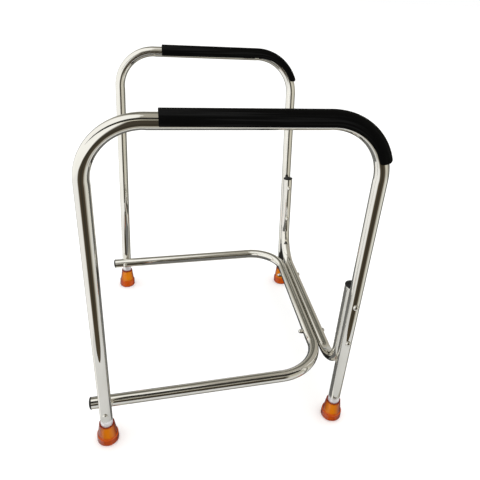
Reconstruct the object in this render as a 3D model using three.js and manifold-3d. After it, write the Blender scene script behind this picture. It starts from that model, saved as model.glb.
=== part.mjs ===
// Bedside and toilet support frame: two bent side hoops stand on four rubber feet. A low U tube joins the
// rear legs, and a cross tube with upturned ends joins the front legs. Dome-head bolts with acorn nuts
// hold the four tubes together, and a C-section rubber grip covers the top of each hoop.
//
// Millimetres. +X points to the front, where the cross tube is, +Y to the left side and +Z up. The origin
// ends up on the floor, under the middle of the frame's bounding box.

import * as THREE from 'three';
import { mergeVertices } from 'three/addons/utils/BufferGeometryUtils.js';
import Module from 'manifold-3d';

const wasm = await Module();
wasm.setup();

// ---------------------------------------------------------------------------- driving dimensions

// Tube stock, the same for all four tubes.
const TUBE_RADIUS = 12.5;
const TUBE_WALL = 1.2;
const TUBE_SIDES = 16;

// Axis to axis distance of two tubes that lie against each other: a diameter and a hair of clearance.
const TUBE_PITCH = 2 * TUBE_RADIUS + 0.5;

// Side hoops, given where the axes of their legs and top bars would cross if the bends were sharp. The
// legs spread apart downwards along X, and the hoops lean outwards, so they are further apart at the top.
const TOP_BAR_HEIGHT = 696;
const HALF_LENGTH_TOP = 229;
const HALF_LENGTH_FLOOR = 250;
const HALF_WIDTH_TOP = 332;
const HALF_WIDTH_FLOOR = 283;
const REAR_FLARE = 8;
const REAR_BEND_RADIUS = 93;
const FRONT_BEND_RADIUS = 100;
const HOOP_BEND_STEPS = 10;

// Base tube: a U that opens to the rear and climbs a little towards its crossbar.
const BASE_REAR_HEIGHT = 90;
const CROSSBAR_HEIGHT = 123;
const BASE_OVERHANG = 31;
const BASE_BEND_RADIUS = 97;

// Cross tube: its crossbar lies in front of the base tube's, and its ends run up inside the front legs.
const UPRIGHT_TOP_HEIGHT = 363;
const CROSS_BEND_RADIUS = 84;
const LOW_TUBE_BEND_STEPS = 8;

// Grips: a C-section pad from the rear part of the top bar to most of the way round the front bend.
const GRIP_INNER_RADIUS = 13;
const GRIP_OUTER_RADIUS = 18;
const GRIP_WRAP_BELOW_MIDDLE = THREE.MathUtils.degToRad(14);
const GRIP_REAR_X = -119;
const GRIP_BEND_STEPS = 8;
const GRIP_ARC_STEPS = 12;

// Feet: a tapered rubber ferrule with a stepped skirt. It holds a steel washer, and the leg stands on it.
const FOOT_HEIGHT = 53;
const FOOT_TOP_RADIUS = 15.6;
const FOOT_SKIRT_HEIGHT = 20;
const FOOT_SKIRT_STEP = 1.8;
const FOOT_BODY_RADIUS = 20;
const FOOT_SOLE_RADIUS = 22.5;
const FOOT_SOLE_THICKNESS = 8;
const FOOT_SOCKET_RADIUS = 13.15;
const FOOT_SIDES = 20;
const WASHER_THICKNESS = 2;
const WASHER_RADIUS = 12.2;
const WASHER_HOLE_RADIUS = 4;

// Plastic end plugs.
const PLUG_FLANGE_RADIUS = 12.9;
const PLUG_FLANGE_HEIGHT = 1.6;
const PLUG_DOME_HEIGHT = 3.2;
const PLUG_STEM_RADIUS = 10.6;
const PLUG_STEM_LENGTH = 15;
const PLUG_STEM_WALL = 2;
const PLUG_SIDES = 16;

// M6 fasteners. The bolt runs through both tubes into a closed acorn nut.
const SHANK_RADIUS = 2.9;
const BOLT_HOLE_RADIUS = 3.5;
const HEAD_RADIUS = 5.5;
const HEAD_RIM_HEIGHT = 1;
const HEAD_HEIGHT = 3.6;
const NUT_ACROSS_FLATS = 10;
const NUT_HEX_HEIGHT = 5;
const NUT_DOME_RADIUS = 4.6;
const NUT_HEIGHT = 11;
const NUT_BORE_RADIUS = 3.4;
const NUT_BORE_DEPTH = 8.5;
const FASTENER_SIDES = 12;
const UPRIGHT_BOLT_HEIGHTS = [240, 336];
const CROSSBAR_BOLT_SPACING = 250;

// Clearance left between pieces that touch on the real frame.
const FIT_GAP = 0.35;

const UP = new THREE.Vector3(0, 0, 1);

// ---------------------------------------------------------------------------- finishes

const FINISHES = {
  polished_steel: { color: 0xd9d8d2, roughness: 0.1, metalness: 1 },
  grip_rubber: { color: 0x151515, roughness: 0.8, metalness: 0 },
  amber_rubber: { color: 0xc2571a, roughness: 0.3, metalness: 0 },
  plug_plastic: { color: 0x0e0e0e, roughness: 0.45, metalness: 0 },
  plain_steel: { color: 0x8f9092, roughness: 0.4, metalness: 1 },
};

function namedMesh(name, geometry, finish) {
  const mesh = new THREE.Mesh(geometry, new THREE.MeshStandardMaterial(FINISHES[finish]));
  mesh.name = name;
  return mesh;
}

// ---------------------------------------------------------------------------- cutting and joining

function toSolid(geometry) {
  const bare = geometry.clone();
  bare.deleteAttribute('normal');
  bare.deleteAttribute('uv');
  const merged = mergeVertices(bare);
  const vertProperties = new Float32Array(merged.attributes.position.array);
  const triVerts = new Uint32Array(merged.index.array);
  return new wasm.Manifold(new wasm.Mesh({ numProp: 3, vertProperties, triVerts }));
}

function toGeometry(solid) {
  const { vertProperties, triVerts } = solid.getMesh();
  const geometry = new THREE.BufferGeometry();
  geometry.setAttribute('position', new THREE.BufferAttribute(new Float32Array(vertProperties), 3));
  geometry.setIndex(new THREE.BufferAttribute(new Uint32Array(triVerts), 1));
  geometry.computeVertexNormals();
  return geometry;
}

// A round bar along an axis, long enough to cut through a tube that it crosses in the middle.
function drillBar(centre, direction, radius, length) {
  const bar = new THREE.CylinderGeometry(radius, radius, length, FASTENER_SIDES);
  bar.rotateX(Math.PI / 2);
  bar.applyQuaternion(new THREE.Quaternion().setFromUnitVectors(UP, direction));
  bar.translate(centre.x, centre.y, centre.z);
  return bar;
}

// ---------------------------------------------------------------------------- basic shapes

// A solid of revolution about +Z from [radius, height] points that start and end on the axis.
function turned(profile, sides) {
  const points = profile.map(([radius, height]) => new THREE.Vector2(radius, height));
  const geometry = new THREE.LatheGeometry(points, sides);
  geometry.rotateX(Math.PI / 2);
  return geometry;
}

// Points of a flattened dome from its rim to its crown on the axis.
function dome(radius, rimHeight, crownHeight, steps) {
  const points = [];
  for (let step = 0; step <= steps; step += 1) {
    const angle = (Math.PI / 2) * (step / steps);
    const height = rimHeight + (crownHeight - rimHeight) * Math.sin(angle);
    points.push([step === steps ? 0 : radius * Math.cos(angle), height]);
  }
  return points;
}

// The centreline of a bent tube: straights between corner points, with a round bend of its own radius at
// each inner corner. Stations stand at both ends of each straight and at equal angles round each bend.
class BentPath extends THREE.Curve {
  constructor(corners, radii, bendSteps) {
    super();
    this.stations = [];
    this.addStation(corners[0], corners[1].clone().sub(corners[0]));
    for (let i = 1; i < corners.length - 1; i += 1) {
      this.addBend(corners[i - 1], corners[i], corners[i + 1], radii[i - 1], bendSteps);
    }
    const [beforeLast, last] = corners.slice(-2);
    this.addStation(last, last.clone().sub(beforeLast));
  }

  addStation(point, direction) {
    this.stations.push({ point: point.clone(), tangent: direction.clone().normalize() });
  }

  addBend(before, corner, after, radius, steps) {
    const incoming = corner.clone().sub(before).normalize();
    const outgoing = after.clone().sub(corner).normalize();
    const turn = incoming.angleTo(outgoing);
    const start = corner.clone().addScaledVector(incoming, -radius * Math.tan(turn / 2));
    const inwards = outgoing.clone().addScaledVector(incoming, -Math.cos(turn)).normalize();
    for (let step = 0; step <= steps; step += 1) {
      const angle = (turn * step) / steps;
      const point = start.clone();
      point.addScaledVector(incoming, radius * Math.sin(angle));
      point.addScaledVector(inwards, radius * (1 - Math.cos(angle)));
      const tangent = incoming.clone().multiplyScalar(Math.cos(angle));
      this.addStation(point, tangent.addScaledVector(inwards, Math.sin(angle)));
    }
  }

  get steps() {
    return this.stations.length - 1;
  }

  // Even steps along the path land on the stations, whatever the distance between them.
  getUtoTmapping(u) {
    return u;
  }

  getPoint(t) {
    const place = t * this.steps;
    const first = Math.min(Math.floor(place), this.steps - 1);
    const { point } = this.stations[first];
    return point.clone().lerp(this.stations[first + 1].point, place - first);
  }

  getTangent(t) {
    return this.stations[Math.round(t * this.steps)].tangent.clone();
  }
}

function tubeAlong(path) {
  const section = new THREE.Shape();
  section.absarc(0, 0, TUBE_RADIUS, 0, 2 * Math.PI);
  const bore = new THREE.Path();
  bore.absarc(0, 0, TUBE_RADIUS - TUBE_WALL, 0, 2 * Math.PI, true);
  section.holes.push(bore);
  const settings = { steps: path.steps, curveSegments: TUBE_SIDES / 2, extrudePath: path };
  return new THREE.ExtrudeGeometry(section, settings);
}

// ---------------------------------------------------------------------------- layout

// A point on a leg's axis. front is 1 for a front leg and -1 for a rear one, left is 1 or -1 likewise.
function legPoint(front, left, height) {
  const rise = height / TOP_BAR_HEIGHT;
  const x = front * THREE.MathUtils.lerp(HALF_LENGTH_FLOOR, HALF_LENGTH_TOP, rise);
  const y = THREE.MathUtils.lerp(HALF_WIDTH_FLOOR, HALF_WIDTH_TOP, rise) - front * REAR_FLARE;
  return new THREE.Vector3(x, left * y, height);
}

function legDirection(front, left) {
  return legPoint(front, left, TOP_BAR_HEIGHT).sub(legPoint(front, left, 0)).normalize();
}

// The axis of the tube that lies against the inner side of a leg, at the same height.
function insideLeg(front, left, height) {
  return legPoint(front, left, height).add(new THREE.Vector3(0, -left * TUBE_PITCH, 0));
}

const SIDES = [
  { side: 'left', left: 1 },
  { side: 'right', left: -1 },
];
const ENDS = [
  { end: 'front', front: 1 },
  { end: 'rear', front: -1 },
];

// Distance of a leg's cut end from the floor, measured along the leg: it stands on the foot's washer.
const LEG_END = FOOT_SOLE_THICKNESS + WASHER_THICKNESS + 2 * FIT_GAP;

function hoopCorners(left) {
  const legEnd = (front) => legPoint(front, left, 0).addScaledVector(legDirection(front, left), LEG_END);
  const top = (front) => legPoint(front, left, TOP_BAR_HEIGHT);
  return [legEnd(-1), top(-1), top(1), legEnd(1)];
}

function baseCorners() {
  const corner = (left) => insideLeg(1, left, CROSSBAR_HEIGHT).add(new THREE.Vector3(-TUBE_PITCH, 0, 0));
  const armEnd = (left) => {
    const crossing = insideLeg(-1, left, BASE_REAR_HEIGHT);
    const rearwards = crossing.clone().sub(corner(left)).normalize();
    return crossing.addScaledVector(rearwards, BASE_OVERHANG);
  };
  return [armEnd(1), corner(1), corner(-1), armEnd(-1)];
}

function crossCorners() {
  const at = (left, height) => insideLeg(1, left, height);
  return [
    at(1, UPRIGHT_TOP_HEIGHT),
    at(1, CROSSBAR_HEIGHT),
    at(-1, CROSSBAR_HEIGHT),
    at(-1, UPRIGHT_TOP_HEIGHT),
  ];
}

// ---------------------------------------------------------------------------- bolted joints

// Where two tube axes pass closest to each other. The bolt's head is on tube a's side, and outwards
// points from tube b's axis to tube a's.
function closestCrossing(pointA, alongA, pointB, alongB) {
  const normal = alongA.clone().cross(alongB).normalize();
  const between = pointA.clone().sub(pointB);
  if (normal.dot(between) < 0) normal.negate();
  const inPlane = alongB.clone().cross(normal);
  const travel = -between.dot(inPlane) / alongA.dot(inPlane);
  const onA = pointA.clone().addScaledVector(alongA, travel);
  const distance = normal.dot(between);
  return { onA, outwards: normal, distance };
}

// Two parallel tubes, bolted square to their axes at a point of tube a.
function parallelCrossing(onA, along, pointB) {
  const outwards = onA.clone().sub(pointB);
  outwards.addScaledVector(along, -outwards.dot(along));
  const distance = outwards.length();
  return { onA, outwards: outwards.normalize(), distance };
}

// Every bolted joint, with the names of the two tubes that it clamps.
function boltedJoints() {
  const joints = [];
  for (const { side, left } of SIDES) {
    const [armEnd, armCorner] = left > 0 ? baseCorners() : baseCorners().reverse();
    const armDirection = armCorner.clone().sub(armEnd).normalize();
    const rearLeg = [legPoint(-1, left, BASE_REAR_HEIGHT), legDirection(-1, left)];
    joints.push({
      name: `${side}_rear_leg`,
      tubes: [`${side}_side_hoop`, 'base_tube'],
      ...closestCrossing(...rearLeg, armEnd, armDirection),
    });
    UPRIGHT_BOLT_HEIGHTS.forEach((height, index) => {
      const inner = insideLeg(1, left, height);
      joints.push({
        name: `${side}_front_leg_${['lower', 'upper'][index]}`,
        tubes: [`${side}_side_hoop`, 'cross_tube'],
        ...parallelCrossing(legPoint(1, left, height), legDirection(1, left), inner),
      });
    });
    const onCross = insideLeg(1, left, CROSSBAR_HEIGHT);
    onCross.y = (left * CROSSBAR_BOLT_SPACING) / 2;
    const onBase = onCross.clone().add(new THREE.Vector3(-TUBE_PITCH, 0, 0));
    joints.push({
      name: `${side}_crossbar`,
      tubes: ['cross_tube', 'base_tube'],
      ...parallelCrossing(onCross, new THREE.Vector3(0, 1, 0), onBase),
    });
  }
  return joints;
}

const JOINTS = boltedJoints();

// The tube with a clear hole through both walls at every bolt that passes through it.
function drilled(name, tube) {
  let solid = toSolid(tube);
  for (const { tubes, onA, outwards, distance } of JOINTS) {
    if (tubes.includes(name)) {
      const centre = onA.clone().addScaledVector(outwards, name === tubes[0] ? 0 : -distance);
      const length = 2 * TUBE_RADIUS + 2;
      solid = solid.subtract(toSolid(drillBar(centre, outwards, BOLT_HOLE_RADIUS, length)));
    }
  }
  return toGeometry(solid);
}

// ---------------------------------------------------------------------------- sub-parts

function tube(name, corners, radii, bendSteps) {
  const path = new BentPath(corners, radii, bendSteps);
  return namedMesh(name, drilled(name, tubeAlong(path)), 'polished_steel');
}

// The grip follows the hoop's own centreline, station by station, so that it fits the bend.
function grip(side, left) {
  const radii = [REAR_BEND_RADIUS, FRONT_BEND_RADIUS];
  const path = new BentPath(hoopCorners(left), radii, HOOP_BEND_STEPS);
  const barStart = HOOP_BEND_STEPS + 1;
  const start = path.stations[barStart];
  const kept = path.stations.slice(barStart + 1, barStart + 2 + GRIP_BEND_STEPS);
  const setBack = (GRIP_REAR_X - start.point.x) / start.tangent.x;
  start.point.addScaledVector(start.tangent, setBack);
  path.stations = [start, ...kept];

  // The section's middle faces away from the hoop, so it is turned to match the swept frame.
  const frames = path.computeFrenetFrames(path.steps, false);
  const awayFromHoop = kept[0].point.clone().sub(kept.at(-1).point);
  awayFromHoop.addScaledVector(start.tangent, -awayFromHoop.dot(start.tangent)).normalize();
  const middle = Math.atan2(awayFromHoop.dot(frames.binormals[0]), awayFromHoop.dot(frames.normals[0]));
  const halfWrap = Math.PI / 2 + GRIP_WRAP_BELOW_MIDDLE;
  const section = new THREE.Shape();
  section.absarc(0, 0, GRIP_OUTER_RADIUS, middle - halfWrap, middle + halfWrap);
  section.absarc(0, 0, GRIP_INNER_RADIUS, middle + halfWrap, middle - halfWrap, true);
  const settings = { steps: path.steps, curveSegments: GRIP_ARC_STEPS / 2, extrudePath: path };
  return namedMesh(`${side}_grip`, new THREE.ExtrudeGeometry(section, settings), 'grip_rubber');
}

// The ferrule is turned about the leaning leg, a little too long, and cut off flat at the floor.
function foot(name, axisPoint, direction) {
  const edge = 1.2;
  const geometry = turned(
    [
      [0, -FOOT_SOLE_THICKNESS],
      [FOOT_SOLE_RADIUS, -FOOT_SOLE_THICKNESS],
      [FOOT_SOLE_RADIUS, edge],
      [FOOT_BODY_RADIUS + FOOT_SKIRT_STEP, FOOT_SKIRT_HEIGHT - edge],
      [FOOT_BODY_RADIUS, FOOT_SKIRT_HEIGHT],
      [FOOT_TOP_RADIUS, FOOT_HEIGHT - edge],
      [FOOT_TOP_RADIUS - edge, FOOT_HEIGHT],
      [FOOT_SOCKET_RADIUS, FOOT_HEIGHT],
      [FOOT_SOCKET_RADIUS, FOOT_SOLE_THICKNESS],
      [0, FOOT_SOLE_THICKNESS],
    ],
    FOOT_SIDES,
  );
  geometry.applyQuaternion(new THREE.Quaternion().setFromUnitVectors(UP, direction));
  geometry.translate(axisPoint.x, axisPoint.y, axisPoint.z);
  const ground = new THREE.BoxGeometry(4 * FOOT_SOLE_RADIUS, 4 * FOOT_SOLE_RADIUS, FOOT_HEIGHT);
  ground.translate(axisPoint.x, axisPoint.y, -FOOT_HEIGHT / 2);
  return namedMesh(name, toGeometry(toSolid(geometry).subtract(toSolid(ground))), 'amber_rubber');
}

function standOn(mesh, point, direction) {
  mesh.position.copy(point);
  mesh.quaternion.setFromUnitVectors(UP, direction);
  return mesh;
}

function footWasher(name, axisPoint, direction) {
  const bottom = FOOT_SOLE_THICKNESS + FIT_GAP;
  const ring = new THREE.Shape();
  ring.absarc(0, 0, WASHER_RADIUS, 0, 2 * Math.PI);
  const hole = new THREE.Path();
  hole.absarc(0, 0, WASHER_HOLE_RADIUS, 0, 2 * Math.PI, true);
  ring.holes.push(hole);
  const settings = { depth: WASHER_THICKNESS, bevelEnabled: false, curveSegments: FASTENER_SIDES / 2 };
  const washer = namedMesh(name, new THREE.ExtrudeGeometry(ring, settings), 'plain_steel');
  return standOn(washer, axisPoint.clone().addScaledVector(direction, bottom), direction);
}

// Plug in an open tube end: a domed flange outside, and a hollow stem inside.
function endPlug(name, tubeEnd, outwards) {
  const geometry = turned(
    [
      [0, -PLUG_STEM_WALL],
      [PLUG_STEM_RADIUS - PLUG_STEM_WALL, -PLUG_STEM_WALL],
      [PLUG_STEM_RADIUS - PLUG_STEM_WALL, -PLUG_STEM_LENGTH],
      [PLUG_STEM_RADIUS, -PLUG_STEM_LENGTH],
      [PLUG_STEM_RADIUS, 0],
      [PLUG_FLANGE_RADIUS, 0],
      ...dome(PLUG_FLANGE_RADIUS, PLUG_FLANGE_HEIGHT, PLUG_FLANGE_HEIGHT + PLUG_DOME_HEIGHT, 3),
    ],
    PLUG_SIDES,
  );
  const plug = namedMesh(name, geometry, 'plug_plastic');
  return standOn(plug, tubeEnd.clone().addScaledVector(outwards, FIT_GAP), outwards);
}

// The bolt's own origin is on tube a's axis, with +Z towards its head.
function bolt({ name, onA, outwards, distance }) {
  const seat = TUBE_RADIUS + FIT_GAP;
  const nutSeat = -distance - seat;
  const tip = nutSeat - NUT_BORE_DEPTH + 2 * FIT_GAP;
  const geometry = turned(
    [
      [0, tip],
      [SHANK_RADIUS, tip],
      [SHANK_RADIUS, seat],
      [HEAD_RADIUS, seat],
      ...dome(HEAD_RADIUS, seat + HEAD_RIM_HEIGHT, seat + HEAD_HEIGHT, 3),
    ],
    FASTENER_SIDES,
  );
  return standOn(namedMesh(`bolt_${name}`, geometry, 'polished_steel'), onA, outwards);
}

// Acorn nut: a hexagon with a closed dome, and a blind bore from its seat.
function acornNut({ name, onA, outwards, distance }) {
  const hexRadius = NUT_ACROSS_FLATS / Math.sqrt(3);
  const hexagon = new THREE.CylinderGeometry(hexRadius, hexRadius, NUT_HEX_HEIGHT, 6);
  hexagon.rotateX(Math.PI / 2);
  hexagon.translate(0, 0, NUT_HEX_HEIGHT / 2);
  const overlap = 1;
  const cap = turned(
    [
      [0, NUT_HEX_HEIGHT - overlap],
      [NUT_DOME_RADIUS, NUT_HEX_HEIGHT - overlap],
      ...dome(NUT_DOME_RADIUS, NUT_HEX_HEIGHT + overlap, NUT_HEIGHT, 4),
    ],
    FASTENER_SIDES,
  );
  const bore = drillBar(new THREE.Vector3(), UP, NUT_BORE_RADIUS, 2 * NUT_BORE_DEPTH);
  const solid = toSolid(hexagon).add(toSolid(cap)).subtract(toSolid(bore));
  const nut = namedMesh(`acorn_nut_${name}`, toGeometry(solid), 'polished_steel');
  const seat = onA.clone().addScaledVector(outwards, -distance - TUBE_RADIUS - FIT_GAP);
  return standOn(nut, seat, outwards.clone().negate());
}

// ---------------------------------------------------------------------------- assembly

const frame = new THREE.Group();

for (const { side, left } of SIDES) {
  const radii = [REAR_BEND_RADIUS, FRONT_BEND_RADIUS];
  frame.add(tube(`${side}_side_hoop`, hoopCorners(left), radii, HOOP_BEND_STEPS));
  frame.add(grip(side, left));
  for (const { end, front } of ENDS) {
    const leg = [legPoint(front, left, 0), legDirection(front, left)];
    frame.add(foot(`${side}_${end}_foot`, ...leg));
    frame.add(footWasher(`${side}_${end}_foot_washer`, ...leg));
  }
}

const baseRadii = [BASE_BEND_RADIUS, BASE_BEND_RADIUS];
const crossRadii = [CROSS_BEND_RADIUS, CROSS_BEND_RADIUS];
frame.add(tube('base_tube', baseCorners(), baseRadii, LOW_TUBE_BEND_STEPS));
frame.add(tube('cross_tube', crossCorners(), crossRadii, LOW_TUBE_BEND_STEPS));

for (const { side, left } of SIDES) {
  const [armEnd, armCorner] = left > 0 ? baseCorners() : baseCorners().reverse();
  frame.add(endPlug(`${side}_base_plug`, armEnd, armEnd.clone().sub(armCorner).normalize()));
  const uprightEnd = insideLeg(1, left, UPRIGHT_TOP_HEIGHT);
  frame.add(endPlug(`${side}_upright_plug`, uprightEnd, legDirection(1, left)));
}

for (const joint of JOINTS) {
  frame.add(bolt(joint));
  frame.add(acornNut(joint));
}

// Bring the middle of the bounding box over the origin, along X and Y. The soles are at zero already.
const middle = new THREE.Box3().setFromObject(frame).getCenter(new THREE.Vector3());
frame.position.set(-middle.x, -middle.y, 0);

const group = new THREE.Group();
group.add(frame);

export default group;
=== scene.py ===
import math

import bmesh
import bpy
from mathutils import Matrix, Vector


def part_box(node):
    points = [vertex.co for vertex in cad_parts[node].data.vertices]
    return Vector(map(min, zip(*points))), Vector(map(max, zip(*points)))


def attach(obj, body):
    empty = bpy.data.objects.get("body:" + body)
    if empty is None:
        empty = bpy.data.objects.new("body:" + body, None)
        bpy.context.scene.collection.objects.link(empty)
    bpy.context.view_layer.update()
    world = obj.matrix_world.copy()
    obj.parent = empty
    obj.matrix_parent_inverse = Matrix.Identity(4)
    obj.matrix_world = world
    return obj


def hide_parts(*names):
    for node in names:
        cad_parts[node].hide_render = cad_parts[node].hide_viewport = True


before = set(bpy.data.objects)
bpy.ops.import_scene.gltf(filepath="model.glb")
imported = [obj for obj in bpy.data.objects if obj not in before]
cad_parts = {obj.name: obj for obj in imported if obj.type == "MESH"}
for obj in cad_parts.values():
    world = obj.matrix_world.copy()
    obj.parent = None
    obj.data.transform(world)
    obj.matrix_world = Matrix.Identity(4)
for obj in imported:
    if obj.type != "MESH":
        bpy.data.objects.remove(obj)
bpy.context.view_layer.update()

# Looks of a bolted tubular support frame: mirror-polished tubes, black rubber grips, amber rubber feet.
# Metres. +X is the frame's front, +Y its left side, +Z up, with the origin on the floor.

# ------------------------------------------------------------------------------------ dimensions

# Tubes that lie against each other have axes TUBE_PITCH apart, which leaves a gap of half a millimetre.
TUBE_RADIUS = 0.0125
TUBE_WALL = 0.0012
TUBE_PITCH = 2 * TUBE_RADIUS + 0.0005

# The side hoops. Heights are those of the tube's axis. Lengths and widths are from the middle, at the top
# bar and at the floor. REAR_FLARE is how far each rear leg stands out and each front leg stands in.
TOP_BAR_HEIGHT = 0.696
HALF_LENGTH_TOP = 0.229
HALF_LENGTH_FLOOR = 0.250
HALF_WIDTH_TOP = 0.332
HALF_WIDTH_FLOOR = 0.283
REAR_FLARE = 0.008
REAR_BEND_RADIUS = 0.093
FRONT_BEND_RADIUS = 0.100

# The base tube and the cross tube. BASE_OVERHANG is how far the base tube runs on behind the rear legs.
BASE_REAR_HEIGHT = 0.090
CROSSBAR_HEIGHT = 0.123
BASE_OVERHANG = 0.031
BASE_BEND_RADIUS = 0.097
UPRIGHT_TOP_HEIGHT = 0.363
CROSS_BEND_RADIUS = 0.084

# The grips at their rear end, at the front end of the bar and at their front end: half the angle that they
# wrap, and how far they have turned about the tube, which is positive outboard. GRIP_REAR_X is where they
# start, from the middle, and GRIP_BEND_ANGLE is how far they follow the front bend.
GRIP_INNER_RADIUS = 0.0127
GRIP_OUTER_RADIUS = 0.018
GRIP_HALF_WRAP_REAR = math.radians(110)
GRIP_HALF_WRAP_BAR = math.radians(107)
GRIP_HALF_WRAP_FRONT = math.radians(101)
GRIP_TURN_REAR = math.radians(-11)
GRIP_TURN_BAR = math.radians(-4)
GRIP_TURN_FRONT = math.radians(14)
GRIP_REAR_X = -0.119
GRIP_BEND_ANGLE = math.radians(68.6)

# The feet, and the gap that pieces keep to what they sit on.
FOOT_HEIGHT = 0.053
FOOT_SOLE_THICKNESS = 0.008
WASHER_THICKNESS = 0.002
FIT_GAP = 0.00035

# The fasteners.
BOLT_HOLE_RADIUS = 0.0035
NUT_BORE_DEPTH = 0.0085
UPRIGHT_BOLT_HEIGHTS = {"lower": 0.240, "upper": 0.336}
CROSSBAR_BOLT_SPACING = 0.250

# The origin is under the middle of the whole box. The middle between the legs has this x in the frame.
HOOP_LOW, HOOP_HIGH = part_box("left_side_hoop")
MIDDLE_X = (HOOP_LOW.x + HOOP_HIGH.x) / 2

# The finish of the meshes. A bend is flattened by BEND_FLATTENING on its inner side, which comes in
# smoothly over BEND_FLATTENING_LENGTH at each of its ends.
BEND_FLATTENING = 0.0005
BEND_FLATTENING_LENGTH = 0.010
TUBE_END_CHAMFER = 0.0004
TUBE_SIDES = 64
BEND_STEP = math.radians(2.5)
SHARP_ANGLE = 35

SIDES = {"left": 1, "right": -1}
ENDS = {"front": 1, "rear": -1}


# ------------------------------------------------------------------------------------ layout


def leg_point(front, left, height):
    """A point on a leg's axis. front is 1 for a front leg and -1 for a rear one, and left is 1 for the
    left side and -1 for the right."""
    rise = height / TOP_BAR_HEIGHT
    x = front * (HALF_LENGTH_FLOOR + (HALF_LENGTH_TOP - HALF_LENGTH_FLOOR) * rise)
    y = HALF_WIDTH_FLOOR + (HALF_WIDTH_TOP - HALF_WIDTH_FLOOR) * rise - front * REAR_FLARE
    return Vector((MIDDLE_X + x, left * y, height))


def leg_direction(front, left):
    """Up along a leg."""
    return (leg_point(front, left, TOP_BAR_HEIGHT) - leg_point(front, left, 0)).normalized()


def inside_leg(front, left, height):
    """The axis of the tube that lies against the inner side of a leg."""
    return leg_point(front, left, height) - Vector((0, left * TUBE_PITCH, 0))


def hoop_corners(left):
    """The ends and the sharp corners of a side hoop's axis, from the rear foot to the front foot."""
    leg_end = FOOT_SOLE_THICKNESS + WASHER_THICKNESS + 2 * FIT_GAP
    rear_end, front_end = (leg_point(f, left, 0) + leg_direction(f, left) * leg_end for f in (-1, 1))
    rear_top, front_top = (leg_point(f, left, TOP_BAR_HEIGHT) for f in (-1, 1))
    return [rear_end, rear_top, front_top, front_end]


def base_arm(left):
    """The rear end and the sharp front corner of one arm of the base tube."""
    corner = inside_leg(1, left, CROSSBAR_HEIGHT) - Vector((TUBE_PITCH, 0, 0))
    crossing = inside_leg(-1, left, BASE_REAR_HEIGHT)
    return crossing + (crossing - corner).normalized() * BASE_OVERHANG, corner


def base_corners():
    """The ends and the sharp corners of the base tube's axis."""
    left_end, left_corner = base_arm(1)
    right_end, right_corner = base_arm(-1)
    return [left_end, left_corner, right_corner, right_end]


def cross_corners():
    """The ends and the sharp corners of the cross tube's axis."""
    low, high = CROSSBAR_HEIGHT, UPRIGHT_TOP_HEIGHT
    return [inside_leg(1, left, height) for left, height in ((1, high), (1, low), (-1, low), (-1, high))]


def rear_leg_joint(side, left):
    """Where an arm of the base tube crosses the rear leg, at the closest points of their axes."""
    arm_end, arm_corner = base_arm(left)
    along_leg = leg_direction(-1, left)
    along_arm = (arm_corner - arm_end).normalized()
    outwards = along_leg.cross(along_arm).normalized() * left
    on_leg = leg_point(-1, left, BASE_REAR_HEIGHT)
    between = on_leg - arm_end
    in_plane = along_arm.cross(outwards)
    on_leg -= along_leg * (between.dot(in_plane) / along_leg.dot(in_plane))
    return (f"{side}_rear_leg", f"{side}_side_hoop", "base_tube", on_leg, outwards, between.dot(outwards))


def front_leg_joint(side, left, place, height):
    """Where an upright of the cross tube lies against the front leg."""
    along_leg = leg_direction(1, left)
    on_leg = leg_point(1, left, height)
    offset = on_leg - inside_leg(1, left, height)
    offset -= along_leg * offset.dot(along_leg)
    name = f"{side}_front_leg_{place}"
    return (name, f"{side}_side_hoop", "cross_tube", on_leg, offset.normalized(), offset.length)


def crossbar_joint(side, left):
    """Where the two crossbars lie against each other."""
    on_cross = inside_leg(1, left, CROSSBAR_HEIGHT)
    on_cross.y = left * CROSSBAR_BOLT_SPACING / 2
    return (f"{side}_crossbar", "cross_tube", "base_tube", on_cross, Vector((1, 0, 0)), TUBE_PITCH)


def bolted_joints():
    """Every bolted joint as (name, tube on the head's side, other tube, point on the first tube's axis,
    direction from the other tube to the first, distance between their axes)."""
    joints = []
    for side, left in SIDES.items():
        joints.append(rear_leg_joint(side, left))
        for place, height in UPRIGHT_BOLT_HEIGHTS.items():
            joints.append(front_leg_joint(side, left, place, height))
        joints.append(crossbar_joint(side, left))
    return joints


JOINTS = bolted_joints()


# ------------------------------------------------------------------------------------ mesh helpers


def smooth(share):
    """Eases from 0 to 1 as share goes from 0 to 1."""
    share = min(max(share, 0), 1)
    return share * share * (3 - 2 * share)


def finish_piece(name, bm, material, node, sharp_angle=SHARP_ANGLE):
    """A mesh object from bm that rides on the frame and stands for its CAD node. Edges that turn by more
    than sharp_angle, in degrees, are shaded sharp."""
    bmesh.ops.recalc_face_normals(bm, faces=bm.faces)
    mesh = bpy.data.meshes.new(name)
    bm.to_mesh(mesh)
    bm.free()
    piece = bpy.data.objects.new(name, mesh)
    bpy.context.scene.collection.objects.link(piece)
    mesh.materials.append(material)
    mesh.shade_smooth()
    mesh.set_sharp_from_angle(angle=math.radians(sharp_angle))
    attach(piece, "root")
    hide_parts(node)
    return piece


def skin_rings(bm, rings):
    """Quads between neighbouring rings of vertices, all of the same length."""
    for ring, following in zip(rings, rings[1:]):
        for i in range(len(ring)):
            j = (i + 1) % len(ring)
            bm.faces.new((ring[i], ring[j], following[j], following[i]))


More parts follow.
